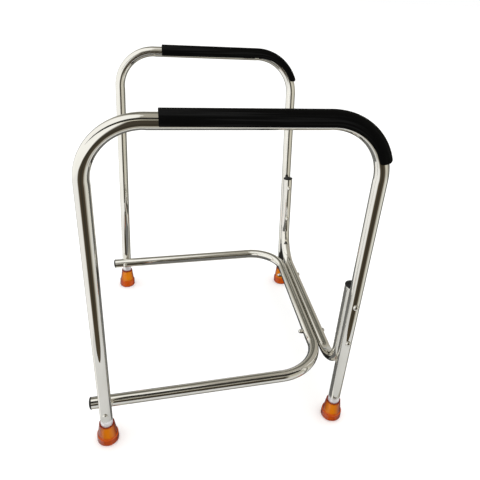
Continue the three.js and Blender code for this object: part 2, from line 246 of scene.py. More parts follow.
def turned(bm, profile, sides, place, radius_at=None):
    """A solid of revolution from (radius, height) points that start and end on the axis. place takes a
    point from the piece's own frame to the object's. radius_at can change the radius round the axis."""
    rings = []
    for radius, height in profile[1:-1]:
        ring = []
        for i in range(sides):
            angle = 2 * math.pi * i / sides
            here = radius_at(radius, height, angle) if radius_at else radius
            point = Vector((here * math.cos(angle), here * math.sin(angle), height))
            ring.append(bm.verts.new(place(point)))
        rings.append(ring)
    skin_rings(bm, rings)
    for ring, (_, height) in ((rings[0], profile[0]), (rings[-1], profile[-1])):
        pole = bm.verts.new(place(Vector((0, 0, height))))
        for i in range(sides):
            bm.faces.new((ring[i], ring[(i + 1) % sides], pole))


def on_axis(origin, direction):
    """A function that takes a point from a piece's own frame, with +Z along direction, to the object's."""
    matrix = Matrix.Translation(origin) @ direction.to_track_quat("Z", "Y").to_matrix().to_4x4()
    return lambda point: matrix @ point


def arc(centre, radius, start, end, steps):
    """Points (r, z) of an arc in a turned profile. Angles are in degrees, from the +r direction."""
    points = []
    for step in range(steps + 1):
        angle = math.radians(start + (end - start) * step / steps)
        points.append((centre[0] + radius * math.cos(angle), centre[1] + radius * math.sin(angle)))
    return points


# ------------------------------------------------------------------------------------ bent tubes


class TubePath:
    """The centreline of a bent tube that lies in one plane, as closely spaced stations."""

    def __init__(self, corners, radii):
        first, second, third = corners[:3]
        self.side = (second - first).cross(third - second).normalized()
        self.stations = [(corners[0], (second - first).normalized())]
        bend_ends = []
        for before, corner, after, radius in zip(corners, corners[1:], corners[2:], radii):
            bend = self.bend(before, corner, after, radius)
            bend_ends.append((len(self.stations), len(self.stations) + len(bend) - 1))
            self.stations += bend
        self.stations.append((corners[-1], (corners[-1] - corners[-2]).normalized()))
        self.distances = [0.0]
        for (here, _), (there, _) in zip(self.stations, self.stations[1:]):
            self.distances.append(self.distances[-1] + (there - here).length)
        self.bends = [(self.distances[first], self.distances[last]) for first, last in bend_ends]

    @staticmethod
    def bend(before, corner, after, radius):
        """The stations of one bend, as (point, tangent)."""
        incoming = (corner - before).normalized()
        outgoing = (after - corner).normalized()
        turn = incoming.angle(outgoing)
        start = corner - incoming * radius * math.tan(turn / 2)
        inwards = (outgoing - incoming * math.cos(turn)).normalized()
        steps = round(turn / BEND_STEP)
        stations = []
        for step in range(steps + 1):
            angle = turn * step / steps
            point = start + incoming * radius * math.sin(angle) + inwards * radius * (1 - math.cos(angle))
            stations.append((point, incoming * math.cos(angle) + inwards * math.sin(angle)))
        return stations

    def in_bend(self, distance):
        """1 inside a bend, 0 on the straights, and a short smooth step at each end of the bend."""
        share = 0.0
        for start, end in self.bends:
            into = min(distance - start, end - distance) / BEND_FLATTENING_LENGTH + 0.5
            share = max(share, smooth(into))
        return share

    @property
    def length(self):
        return self.distances[-1]

    def at(self, distance):
        """(point, tangent) at a distance from the start."""
        last = len(self.stations) - 2
        i = next((i for i, d in enumerate(self.distances[1:]) if d >= distance), last)
        share = (distance - self.distances[i]) / (self.distances[i + 1] - self.distances[i])
        (here, along_here), (there, along_there) = self.stations[i], self.stations[i + 1]
        return here.lerp(there, share), along_here.lerp(along_there, share).normalized()

    def distance_of(self, point):
        """How far along the path the nearest place to a point is."""
        best = None
        for i, ((here, _), (there, _)) in enumerate(zip(self.stations, self.stations[1:])):
            span = there - here
            share = min(max((point - here).dot(span) / span.length_squared, 0), 1)
            gap = (here + span * share - point).length
            if best is None or gap < best[0]:
                best = (gap, self.distances[i] + share * span.length)
        return best[1]


def section_place(path, distance, radius, angle):
    """A point beside the path: angle 0 is the outside of the bends, and a quarter turn is path.side."""
    point, tangent = path.at(distance)
    outside = tangent.cross(path.side)
    return point + radius * (math.cos(angle) * outside + math.sin(angle) * path.side)


def ring_distances(path, bolt_points):
    """Where a tube has its rings: at the path's stations, at the chamfers of its ends, and closely spaced
    beside each bolt and each end of a bend."""
    distances = set(path.distances)
    for point in bolt_points:
        middle = path.distance_of(point)
        distances |= {middle + millimetres / 1000 for millimetres in (-7, -5, -3, -1, 1, 3, 5, 7)}
    for bend in path.bends:
        for end in bend:
            distances |= {end + millimetres / 1000 for millimetres in (-5, -3.5, -2, -0.7, 0.7, 2, 3.5, 5)}
    distances |= {TUBE_END_CHAMFER, path.length - TUBE_END_CHAMFER}
    return sorted(distances)


def tube_ring(bm, path, distance, radius):
    """A ring of the tube's wall, a little flattened on the inner side of a bend."""
    flattening = BEND_FLATTENING * path.in_bend(distance)
    ring = []
    for i in range(TUBE_SIDES):
        angle = 2 * math.pi * i / TUBE_SIDES
        here = radius - flattening * max(0, -math.cos(angle)) ** 2
        ring.append(bm.verts.new(section_place(path, distance, here, angle)))
    return ring


def tube_mesh(path, bolt_points):
    """An open tube with an outer and an inner surface, joined at its two ends."""
    bm = bmesh.new()
    outer, inner = [], []
    for distance in ring_distances(path, bolt_points):
        chamfer = TUBE_END_CHAMFER if distance in (0.0, path.length) else 0
        outer.append(tube_ring(bm, path, distance, TUBE_RADIUS - chamfer))
        inner.append(tube_ring(bm, path, distance, TUBE_RADIUS - TUBE_WALL))
    for rings in (outer, inner, [outer[0], inner[0]], [outer[-1], inner[-1]]):
        skin_rings(bm, rings)
    return bm


def drill(piece, centres_and_directions):
    """Cuts a bolt hole through both walls at each place."""
    overshoot = 0.002
    reach = TUBE_RADIUS + overshoot
    profile = [(0, -reach), (BOLT_HOLE_RADIUS, -reach), (BOLT_HOLE_RADIUS, reach), (0, reach)]
    bm = bmesh.new()
    for centre, direction in centres_and_directions:
        turned(bm, profile, sides=32, place=on_axis(centre, direction))
    bmesh.ops.recalc_face_normals(bm, faces=bm.faces)
    cutter_mesh = bpy.data.meshes.new("cutter")
    bm.to_mesh(cutter_mesh)
    bm.free()
    cutter = bpy.data.objects.new("cutter", cutter_mesh)
    bpy.context.scene.collection.objects.link(cutter)
    cut = piece.modifiers.new("bolt_holes", "BOOLEAN")
    cut.object = cutter
    cut.operation = "DIFFERENCE"
    cut.solver = "EXACT"
    evaluated = piece.evaluated_get(bpy.context.evaluated_depsgraph_get())
    whole = piece.data
    piece.data = bpy.data.meshes.new_from_object(evaluated)
    piece.data.name = whole.name
    piece.modifiers.clear()
    bpy.data.objects.remove(cutter)
    bpy.data.meshes.remove(cutter_mesh)
    bpy.data.meshes.remove(whole)
    piece.data.shade_smooth()
    piece.data.set_sharp_from_angle(angle=math.radians(SHARP_ANGLE))


def lay_coordinates(piece, path):
    """Stores where each vertex is along and round the tube, which its material's grain follows."""
    layer = piece.data.attributes.new("tube_space", "FLOAT_VECTOR", "POINT")
    for vertex, value in zip(piece.data.vertices, layer.data):
        distance = path.distance_of(vertex.co)
        point, tangent = path.at(distance)
        outside = tangent.cross(path.side)
        offset = vertex.co - point
        value.vector = (offset.dot(outside), offset.dot(path.side), distance)


# ------------------------------------------------------------------------------------ materials


class Nodes:
    """Short ways to add the shader nodes that the materials share."""

    def __init__(self, tree):
        self.tree = tree

    def add(self, kind, **settings):
        node = self.tree.nodes.new(kind)
        for name, value in settings.items():
            setattr(node, name, value)
        return node

    def link(self, source, target):
        """Feeds a socket from another socket, or sets it to a number or colour."""
        if isinstance(source, bpy.types.NodeSocket):
            self.tree.links.new(source, target)
        else:
            target.default_value = source

    def math(self, operation, *values):
        node = self.add("ShaderNodeMath", operation=operation)
        for value, socket in zip(values, node.inputs):
            self.link(value, socket)
        return node.outputs[0]

    def noise(self, vector, scale, detail, stretch=(1, 1, 1)):
        """Noise of about scale cells a metre, times the factor that stretch gives for each axis."""
        mapping = self.add("ShaderNodeMapping")
        mapping.inputs["Scale"].default_value = stretch
        self.link(vector, mapping.inputs["Vector"])
        node = self.add("ShaderNodeTexNoise")
        self.link(mapping.outputs[0], node.inputs["Vector"])
        node.inputs["Scale"].default_value = scale
        node.inputs["Detail"].default_value = detail
        return node.outputs[0]

    def spread(self, value, low, high, to_low=0.0, to_high=1.0):
        """value from low..high to to_low..to_high, with soft ends. Inputs 1 to 4 hold those numbers."""
        node = self.add("ShaderNodeMapRange", interpolation_type="SMOOTHSTEP")
        for socket, number in zip(node.inputs[1:5], (low, high, to_low, to_high)):
            socket.default_value = number
        self.link(value, node.inputs[0])
        return node.outputs[0]

    def mix(self, share, first, second):
        """The first colour where share is 0, and the second where it is 1. The node repeats its sockets
        for each kind of data, and its colours are inputs 6 and 7 and output 2."""
        node = self.add("ShaderNodeMix", data_type="RGBA")
        self.link(share, node.inputs[0])
        self.link(first, node.inputs[6])
        self.link(second, node.inputs[7])
        return node.outputs[2]

    def bump(self, height, depth, strength, under=None):
        """A surface normal for bumps of this depth in metres, on top of the normal under, if given."""
        node = self.add("ShaderNodeBump")
        node.inputs["Strength"].default_value = strength
        node.inputs["Distance"].default_value = depth
        self.link(height, node.inputs["Height"])
        if under is not None:
            self.link(under, node.inputs["Normal"])
        return node.outputs[0]


def new_material(name):
    """A new material, its node helper and its main shader."""
    material = bpy.data.materials.new(name)
    material.use_nodes = True
    return material, Nodes(material.node_tree), material.node_tree.nodes["Principled BSDF"]


def own_space(nodes):
    """Each piece's own coordinates, which are the whole object's, in metres."""
    return nodes.add("ShaderNodeTexCoord").outputs["Object"]


def polished_steel(name, on_tube, painted_pale_ends=False):
    """Mirror-polished stainless steel with fine lengthwise grain, faint wipe marks and a slight waviness.
    With pale ends, the last 2 cm of each leg above its foot are dull, less metallic and painted a pale
    white:
    a painted reflection of the lit floor in front of the legs."""
    material, nodes, shader = new_material(name)
    if on_tube:
        space = nodes.add("ShaderNodeAttribute", attribute_name="tube_space").outputs["Vector"]
    else:
        space = own_space(nodes)
    grain = nodes.noise(space, 2200, 3.0, (1, 1, 0.012))
    marks = nodes.noise(space, 45, 4.0, (1, 1, 0.25))
    waves = nodes.noise(space, 60, 1.0, (1, 1, 0.2))
    # The last of these colours is a painted reflection of the lit floor, used only in the band above the
    # feet.
    bright, wiped, painted_reflection_white = (0.86, 0.85, 0.82, 1), (0.80, 0.79, 0.75, 1), (0.88, 0.86, 0.89, 1)
    tint = nodes.mix(nodes.spread(marks, 0.3, 0.7), bright, wiped)
    nodes.link(tint, shader.inputs["Base Color"])
    rough = nodes.spread(marks, 0.35, 0.75, 0.02, 0.065)
    rough = nodes.math("ADD", rough, nodes.spread(grain, 0.4, 0.8, 0.0, 0.025))
    # Painted reflection: a pale, less metallic band just above each foot stands in for the lit floor
    # mirrored there.
    if painted_pale_ends:
        height = nodes.add("ShaderNodeSeparateXYZ")
        nodes.link(own_space(nodes), height.inputs[0])
        uneven = nodes.math("ADD", height.outputs[2], nodes.math("MULTIPLY", marks, 0.012))
        painted_reflection_mask = nodes.spread(uneven, FOOT_HEIGHT + 0.013, FOOT_HEIGHT + 0.027, 1, 0)
        rough = nodes.math("ADD", rough, nodes.math("MULTIPLY", painted_reflection_mask, 0.4))
        metallic = nodes.math("SUBTRACT", 1.0, nodes.math("MULTIPLY", painted_reflection_mask, 0.45))
        nodes.link(nodes.mix(painted_reflection_mask, tint, painted_reflection_white), shader.inputs["Base Color"])
        nodes.link(metallic, shader.inputs["Metallic"])
    else:
        shader.inputs["Metallic"].default_value = 1.0
    nodes.link(rough, shader.inputs["Roughness"])
    wavy = nodes.bump(waves, 0.0004, 0.25)
    nodes.link(nodes.bump(grain, 0.00003, 0.3, under=wavy), shader.inputs["Normal"])
    return material


def plain_steel():
    """Zinc-plated washer steel, dull and slightly mottled."""
    material, nodes, shader = new_material("plain_steel")
    space = own_space(nodes)
    mottle = nodes.noise(space, 900, 4.0)
    dark, pale = (0.45, 0.45, 0.44, 1), (0.60, 0.60, 0.58, 1)
    tint = nodes.mix(nodes.spread(mottle, 0.3, 0.7), dark, pale)
    nodes.link(tint, shader.inputs["Base Color"])
    nodes.link(nodes.spread(mottle, 0.3, 0.7, 0.3, 0.5), shader.inputs["Roughness"])
    shader.inputs["Metallic"].default_value = 1.0
    nodes.link(nodes.bump(mottle, 0.00005, 0.3), shader.inputs["Normal"])
    return material


def grip_rubber():
    """Matte black extruded rubber: fine ribs along the grip, a dull grain, and faint paler streaks."""
    material, nodes, shader = new_material("grip_rubber")
    space = nodes.add("ShaderNodeAttribute", attribute_name="grip_space").outputs["Vector"]
    streaks = nodes.noise(space, 300, 3.0, (1, 0.02, 1))
    grain = nodes.noise(space, 3200, 3.0, (1, 0.4, 1))
    black, streak = (0.0018, 0.0018, 0.0018, 1), (0.009, 0.009, 0.009, 1)
    tint = nodes.mix(nodes.spread(streaks, 0.45, 0.75), black, streak)
    nodes.link(tint, shader.inputs["Base Color"])
    nodes.link(nodes.spread(streaks, 0.3, 0.7, 0.55, 0.75), shader.inputs["Roughness"])
    shader.inputs["Specular IOR Level"].default_value = 0.035
    across = nodes.add("ShaderNodeSeparateXYZ")
    nodes.link(space, across.inputs[0])
    rib_pitch = 0.0016
    ribs = nodes.math("SINE", nodes.math("MULTIPLY", across.outputs[0], 2 * math.pi / rib_pitch))
    ribbed = nodes.bump(ribs, 0.00012, 0.5)
    nodes.link(nodes.bump(grain, 0.00012, 0.4, under=ribbed), shader.inputs["Normal"])
    return material


def amber_rubber():
    """Glossy translucent amber rubber, clearest over the tube and redder where it is thick or edge-on."""
    material, nodes, shader = new_material("amber_rubber")
    space = own_space(nodes)
    flow = nodes.noise(space, 160, 3.0, (1, 1, 0.5))
    fine = nodes.noise(space, 1400, 2.0)
    height = nodes.add("ShaderNodeSeparateXYZ")
    nodes.link(space, height.inputs[0])
    cloudy = nodes.math("MULTIPLY", nodes.math("SUBTRACT", flow, 0.5), 0.006)
    level = nodes.math("ADD", height.outputs[2], cloudy)
    clear, thick, edge = (0.97, 0.31, 0.001, 1), (0.78, 0.118, 0.004, 1), (0.30, 0.024, 0.004, 1)
    above_skirt = nodes.spread(level, 0.018, 0.026)
    at_rim = nodes.spread(height.outputs[2], FOOT_HEIGHT - 0.006, FOOT_HEIGHT - 0.0005)
    tint = nodes.mix(at_rim, nodes.mix(above_skirt, thick, clear), edge)
    facing = nodes.add("ShaderNodeLayerWeight")
    facing.inputs["Blend"].default_value = 0.5
    tint = nodes.mix(nodes.spread(facing.outputs["Facing"], 0.15, 0.75), tint, edge)
    nodes.link(tint, shader.inputs["Base Color"])
    nodes.link(nodes.spread(fine, 0.3, 0.7, 0.10, 0.20), shader.inputs["Roughness"])
    shader.inputs["IOR"].default_value = 1.45
    shader.inputs["Transmission Weight"].default_value = 0.45
    shader.inputs["Specular IOR Level"].default_value = 0.25
    nodes.link(nodes.bump(flow, 0.0006, 0.15), shader.inputs["Normal"])
    return material


def plug_plastic():
    """Satin black moulded plastic with a fine spark-eroded grain."""
    material, nodes, shader = new_material("plug_plastic")
    space = own_space(nodes)
    grain = nodes.noise(space, 3000, 3.0)
    wear = nodes.noise(space, 250, 3.0)
    black, worn = (0.006, 0.006, 0.006, 1), (0.016, 0.016, 0.017, 1)
    tint = nodes.mix(nodes.spread(wear, 0.4, 0.75), black, worn)
    nodes.link(tint, shader.inputs["Base Color"])
    nodes.link(nodes.spread(wear, 0.3, 0.7, 0.3, 0.5), shader.inputs["Roughness"])
    shader.inputs["Specular IOR Level"].default_value = 0.3
    nodes.link(nodes.bump(grain, 0.00008, 0.35), shader.inputs["Normal"])
    return material


HOOP_STEEL = polished_steel("hoop_steel", on_tube=True, painted_pale_ends=True)
TUBE_STEEL = polished_steel("tube_steel", on_tube=True)
FASTENER_STEEL = polished_steel("fastener_steel", on_tube=False)
WASHER_STEEL = plain_steel()
GRIP_RUBBER = grip_rubber()
AMBER_RUBBER = amber_rubber()
PLUG_PLASTIC = plug_plastic()


# ------------------------------------------------------------------------------------ pieces


def make_tube(name, corners, radii, material):
    """A bent tube with its bolt holes. Returns its path."""
    path = TubePath(corners, radii)
    holes = []
    for _, head_tube, other_tube, on_head_tube, outwards, distance in JOINTS:
        if name == head_tube:
            holes.append((on_head_tube, outwards))
        if name == other_tube:
            holes.append((on_head_tube - outwards * distance, outwards))
    bm = tube_mesh(path, [centre for centre, _ in holes])
    piece = finish_piece(f"{name}_polished", bm, material, name)
    drill(piece, holes)
    lay_coordinates(piece, path)
    return path


def rounded_corner(centre_radius, centre_angle, size, start, end, steps):
    """(radius, angle) points of a rounded corner of a section, without its first point. start and end are
    in degrees from the outward direction."""
    points = []
    for step in range(1, steps + 1):
        turn = math.radians(start + (end - start) * step / steps)
        radius = centre_radius + size * math.cos(turn)
        points.append((radius, centre_angle + size * math.sin(turn) / radius))
    return points


def grip_section(outer_radius, half_wrap):
    """(radius, angle) points round a C-section with rounded lips: along the outer face from one lip to the
    other, and back along the inner face."""
    lip, small_lip = 0.0018, 0.0005
    outer_steps, inner_steps = 48, 32
    outer_end = half_wrap - lip / outer_radius
    inner_end = half_wrap - small_lip / GRIP_INNER_RADIUS
    outer_centre = outer_radius - lip
    inner_centre = GRIP_INNER_RADIUS + small_lip
    points = []
    for step in range(outer_steps + 1):
        points.append((outer_radius, -outer_end + 2 * outer_end * step / outer_steps))
    points += rounded_corner(outer_centre, outer_end, lip, 0, 90, 6)
    points += rounded_corner(inner_centre, inner_end, small_lip, 90, 180, 4)
    for step in range(1, inner_steps + 1):
        points.append((GRIP_INNER_RADIUS, inner_end - 2 * inner_end * step / inner_steps))
    points += rounded_corner(inner_centre, -inner_end, small_lip, 180, 270, 4)
    points += rounded_corner(outer_centre, -outer_end, lip, 270, 360, 6)[:-1]
    return points


def smooth_steps(value, places):
    """Eases between the numbers given at increasing places, as (place, number) pairs."""
    for (here, first), (there, second) in zip(places, places[1:]):
        if value <= there:
            return first + (second - first) * smooth((value - here) / (there - here))
    return places[-1][1]


def make_grip(side, left, path):
    """A grip wraps the outside of the tube. It has turned a little inboard on the bar and outboard at its
    front end, where its outer side reaches further down than its lips."""
    bar_start = path.bends[0][1]
    start = bar_start + (MIDDLE_X + GRIP_REAR_X - path.at(bar_start)[0].x)
    bend_start = path.bends[1][0]
    end = bend_start + GRIP_BEND_ANGLE * FRONT_BEND_RADIUS
    rear_round = 0.0012
    front_round = 0.0042
    front_reach, reach_length = 0.0045, 0.05
    wraps = (GRIP_HALF_WRAP_REAR, GRIP_HALF_WRAP_BAR, GRIP_HALF_WRAP_FRONT)
    turns = (GRIP_TURN_REAR, GRIP_TURN_BAR, GRIP_TURN_FRONT)
    half_wrap = list(zip((start, bend_start, end), wraps))
    turn = list(zip((start, bend_start, end), turns))
    reach = [(end - reach_length, 0.0), (end, front_reach)]

    # Where the rings lie: close together at the two rounded ends, and evenly along the bar and the bend.
    bar_steps, bend_steps = 60, 48
    rear_arc = [start + rear_round * (1 - math.cos(math.radians(15 * i))) for i in range(7)]
    bar = [rear_arc[-1] + (bend_start - rear_arc[-1]) * i / bar_steps for i in range(1, bar_steps)]
    bend = [bend_start + (end - front_round - bend_start) * i / bend_steps for i in range(bend_steps + 1)]
    front_arc = [end - front_round * (1 - math.sin(math.radians(10 * i))) for i in range(1, 10)]

    bm = bmesh.new()
    layer = bm.verts.layers.float_vector.new("grip_space")
    rings = []
    for distance in rear_arc + bar + bend + front_arc:
        into_rear = max(0, start + rear_round - distance) / rear_round
        into_front = max(0, distance - (end - front_round)) / front_round
        inset = rear_round * (1 - math.sqrt(max(0, 1 - into_rear**2)))
        inset += front_round * (1 - math.sqrt(max(0, 1 - into_front**2)))
        outer = GRIP_OUTER_RADIUS - inset
        ring = []
        for radius, angle in grip_section(outer, smooth_steps(distance, half_wrap) - inset / outer):
            along = distance + smooth_steps(distance, reach) * math.cos(angle)
            turned_angle = angle + left * smooth_steps(distance, turn)
            vertex = bm.verts.new(section_place(path, along, radius, turned_angle))
            vertex[layer] = (angle * GRIP_OUTER_RADIUS, distance, radius)
            ring.append(vertex)
        rings.append(ring)
    skin_rings(bm, rings)
    for ring in (rings[0], rings[-1]):
        edges = [bm.edges.get((ring[i], ring[(i + 1) % len(ring)])) for i in range(len(ring))]
        bmesh.ops.triangle_fill(bm, edges=edges, use_beauty=True)
    finish_piece(f"{side}_grip_rubber", bm, GRIP_RUBBER, f"{side}_grip", sharp_angle=40)


def make_foot(name, front, left):
    """A turned ferrule on a leaning leg. It is level at the floor, and square to the leg higher up."""
    foot_point = leg_point(front, left, 0)
    direction = leg_direction(front, left)
    lean = Vector((0, 0, 1)).rotation_difference(direction)
    level_height = 0.020

    def place(point):
        across = Vector((point.x, point.y, 0))
        leaning = across.copy()
        leaning.rotate(lean)
        across = across.lerp(leaning, smooth(point.z / level_height))
        return foot_point + direction * (point.z / direction.z) + across

    socket = TUBE_RADIUS + FIT_GAP
    groove, slope, ring_width = 0.0012, 0.0005, 0.0035
    profile = [(0, groove)]
    for inner in (0.0050, 0.0110, 0.0170):
        outer = inner + ring_width
        profile += [(inner - slope, groove), (inner, 0), (outer, 0), (outer + slope, groove)]
    profile[-1:] = [(0.0209, 0.0001), (0.0222, 0.0022)]
    profile += arc((0.0217, 0.0030), 0.0008, -45, 10, 4)
    profile += [(0.0224, 0.0060), (0.0222, 0.0120), (0.0219, 0.0175)]
    profile += arc((0.0208, 0.0184), 0.0011, 0, 80, 5)
    profile += [(0.0202, 0.0196), (0.0199, 0.0200), (0.0197, 0.0206)]
    profile += [(0.0190, 0.0260), (0.0182, 0.0320), (0.0174, 0.0385), (0.0166, 0.0445), (0.0160, 0.0490)]
    profile += arc((0.0140, FOOT_HEIGHT - 0.0018), 0.0018, 10, 90, 6)
    profile += arc((socket + 0.0007, FOOT_HEIGHT - 0.0007), 0.0007, 90, 180, 4)
    profile += [(socket, 0.040), (socket, FOOT_SOLE_THICKNESS), (0, FOOT_SOLE_THICKNESS)]
    bm = bmesh.new()
    turned(bm, profile, sides=96, place=place)
    finish_piece(f"{name}_rubber", bm, AMBER_RUBBER, name, sharp_angle=50)


def make_foot_washer(name, front, left):
    """A flat ring with bevelled edges, at the bottom of the foot's socket."""
    direction = leg_direction(front, left)
    place = on_axis(leg_point(front, left, 0) + direction * (FOOT_SOLE_THICKNESS + FIT_GAP), direction)
    bevel, outer, hole, sides = 0.0003, 0.0121, 0.004, 48
    angles = [2 * math.pi * i / sides for i in range(sides)]
    section = [(hole, bevel), (hole + bevel, 0), (outer - bevel, 0), (outer, bevel)]
    section += [(radius, WASHER_THICKNESS - height) for radius, height in reversed(section)]
    bm = bmesh.new()
    rings = []
    for radius, height in section + section[:1]:
        points = [Vector((radius * math.cos(a), radius * math.sin(a), height)) for a in angles]
        rings.append([bm.verts.new(place(point)) for point in points])
    skin_rings(bm, rings)
    bmesh.ops.remove_doubles(bm, verts=bm.verts, dist=1e-6)
    finish_piece(f"{name}_steel", bm, WASHER_STEEL, name)


def make_plug(name, tube_end, outwards):
    """A domed flange over the tube's end, with a hollow ribbed stem inside the tube."""
    stem, wall, length, flange = 0.0106, 0.002, 0.015, 0.0129
    ribs, rib_pitch, rib_height, rib_slope = 3, 0.004, 0.0004, 0.0008
    bore, root = stem - wall, stem - rib_height
    profile = [(0, -wall), (bore, -wall), (bore, -length + 0.0004)]
    profile += [(bore + 0.0004, -length), (stem - 0.0012, -length), (root, -length + 0.002)]
    for rib in range(ribs):
        low = rib_pitch * (rib - ribs)
        profile += [(root, low), (stem, low + rib_slope), (stem, low + 2 * rib_slope)]
        profile += [(root, low + 3 * rib_slope)]
    profile += [(root, 0), (flange - 0.0003, 0)]
    profile += arc((flange - 0.0005, 0.0005), 0.0005, -60, 0, 3)
    profile += arc((flange - 0.0008, 0.0014), 0.0008, 0, 50, 4)
    crown, rim_height, crown_steps = 0.0048, 0.0020, 12
    rim = flange - 0.0010
    for step in range(1, crown_steps):
        angle = math.pi / 2 * step / crown_steps
        profile.append((rim * math.cos(angle), rim_height + (crown - rim_height) * math.sin(angle)))
    profile.append((0, crown))
    bm = bmesh.new()
    turned(bm, profile, sides=64, place=on_axis(tube_end + outwards * FIT_GAP, outwards))
    finish_piece(f"{name}_plastic", bm, PLUG_PLASTIC, name, sharp_angle=45)


def make_bolt(joint):
    """A mushroom-head bolt, chamfered at its tip, which lies in the nut. Its own origin is on the axis of
    the tube on its head's side."""
    name, _, _, origin, outwards, distance = joint
    shank, tip_chamfer, head, crown, crown_steps = 0.0029, 0.0006, 0.0059, 0.0038, 14
    seat = TUBE_RADIUS + FIT_GAP
    tip = -distance - seat - NUT_BORE_DEPTH + 2 * FIT_GAP
    profile = [(0, tip), (shank - tip_chamfer, tip), (shank, tip + tip_chamfer), (shank, seat)]
    profile += [(head - 0.0003, seat)]
    profile += arc((head - 0.0004, seat + 0.0004), 0.0004, -60, 20, 5)
    rim, rim_height = head - 0.0002, 0.0007
    for step in range(1, crown_steps):
        angle = math.pi / 2 * step / crown_steps
        height = rim_height + (crown - rim_height) * math.sin(angle)
        profile.append((rim * math.cos(angle), seat + height))
    profile.append((0, seat + crown))
    bm = bmesh.new()
    turned(bm, profile, sides=48, place=on_axis(origin, outwards))
    node = f"bolt_{name}"
    finish_piece(f"{node}_steel", bm, FASTENER_STEEL, node, sharp_angle=40)


def make_acorn_nut(joint):
    """A chamfered hexagon under a closed dome, with a blind bore."""
    name, _, _, origin, outwards, distance = joint
    half_flats, hex_height, height = 0.005, 0.0045, 0.011
    bore, bore_chamfer = 0.0033, 0.0005
    dome, dome_base, dome_steps = 0.0046, hex_height + 0.0012, 16
    corner = half_flats / math.cos(math.pi / 6)
    rounding = 0.97

    def hexagon(radius, z, angle):
        """Cuts the flats of the hexagon, and leaves the bore and the dome round."""
        if radius <= half_flats * 0.95 or z > hex_height + 0.0001:
            return radius
        from_flat = (angle + math.pi / 6) % (math.pi / 3) - math.pi / 6
        return min(radius, half_flats / math.cos(from_flat))

    profile = [(0, NUT_BORE_DEPTH), (bore, NUT_BORE_DEPTH - 0.001), (bore, bore_chamfer)]
    profile += [(bore + bore_chamfer, 0), (half_flats * rounding, 0), (half_flats, 0.0001)]
    profile += [(corner * rounding, 0.0005), (corner, 0.0009), (corner, hex_height - 0.0012)]
    profile += [(corner * rounding, hex_height - 0.0006), (half_flats, hex_height - 0.0001)]
    profile += [(0.0048, hex_height), (0.0047, hex_height + 0.0006)]
    for step in range(1, dome_steps):
        angle = math.pi / 2 * step / dome_steps
        profile.append((dome * math.cos(angle), dome_base + (height - dome_base) * math.sin(angle)))
    profile.append((0, height))
    seat = origin - outwards * (distance + TUBE_RADIUS + FIT_GAP)
    bm = bmesh.new()
    turned(bm, profile, sides=72, place=on_axis(seat, -outwards), radius_at=hexagon)
    node = f"acorn_nut_{name}"
    finish_piece(f"{node}_steel", bm, FASTENER_STEEL, node, sharp_angle=25)


hoop_radii = [REAR_BEND_RADIUS, FRONT_BEND_RADIUS]
for side, left in SIDES.items():
    hoop_path = make_tube(f"{side}_side_hoop", hoop_corners(left), hoop_radii, HOOP_STEEL)
    make_grip(side, left, hoop_path)
    for end, front in ENDS.items():
        make_foot(f"{side}_{end}_foot", front, left)
        make_foot_washer(f"{side}_{end}_foot_washer", front, left)
    arm_end, arm_corner = base_arm(left)
    make_plug(f"{side}_base_plug", arm_end, (arm_end - arm_corner).normalized())
    make_plug(f"{side}_upright_plug", inside_leg(1, left, UPRIGHT_TOP_HEIGHT), leg_direction(1, left))

make_tube("base_tube", base_corners(), [BASE_BEND_RADIUS] * 2, TUBE_STEEL)
make_tube("cross_tube", cross_corners(), [CROSS_BEND_RADIUS] * 2, TUBE_STEEL)

for joint in JOINTS:
    make_bolt(joint)
    make_acorn_nut(joint)


# ------------------------------------------------------------------------------------ studio


def stage_sheet(name, material, corners):
    """A flat four-cornered sheet that belongs to the studio and not to the object."""
    mesh = bpy.data.meshes.new(name)
    mesh.from_pydata(corners, [], [(0, 1, 2, 3)])
    mesh.materials.append(material)
    sheet = bpy.data.objects.new(name, mesh)
    bpy.context.scene.collection.objects.link(sheet)
    return sheet


def make_floor():
    """A wide pale floor, a little self-lit, which the polished tubes don't mirror."""
    material, _, shader = new_material("pale_floor")
    shader.inputs["Base Color"].default_value = (0.94, 0.94, 0.94, 1)
    shader.inputs["Emission Color"].default_value = (1, 1, 1, 1)
    shader.inputs["Emission Strength"].default_value = 0.08
    shader.inputs["Roughness"].default_value = 0.9
    shader.inputs["Specular IOR Level"].default_value = 0.1
    reach = 30.0
    corners = [(-reach, -reach, 0), (reach, -reach, 0), (reach, reach, 0), (-reach, reach, 0)]
    floor = stage_sheet("floor", material, corners)
    floor.visible_glossy = False


